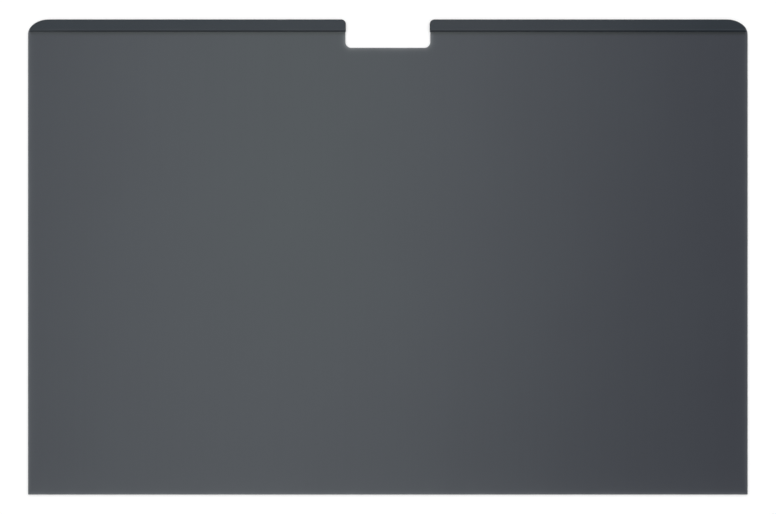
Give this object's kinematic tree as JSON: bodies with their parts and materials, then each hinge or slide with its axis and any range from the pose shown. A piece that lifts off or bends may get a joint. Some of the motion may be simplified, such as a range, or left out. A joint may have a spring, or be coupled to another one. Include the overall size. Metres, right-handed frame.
{
  "type": "laptop privacy filter",
  "caption": "Thin dark louvre film panel with a camera notch in its top edge and black magnet strips beside the notch; clings over a laptop screen so that it can only be read from in front.",
  "frame": {"origin": "middle of the back face, the flat face that lies against the screen and on which the filter rests", "axes": "+X along the width, +Y up the screen towards the notched edge, +Z out of the face that carries the strips, towards the user"},
  "size_m": [0.306, 0.202, 0.001],
  "materials": {
    "louvre_film": "dark grey see-through laminate with a matte anti-glare face and paler cut edges",
    "magnet_strip": "satin black facing on flexible magnet"
  },
  "bodies": {
    "root": {"privacy_panel": "louvre_film", "magnet_strip_left": "magnet_strip", "magnet_strip_right": "magnet_strip"}
  },
  "joints": []
}
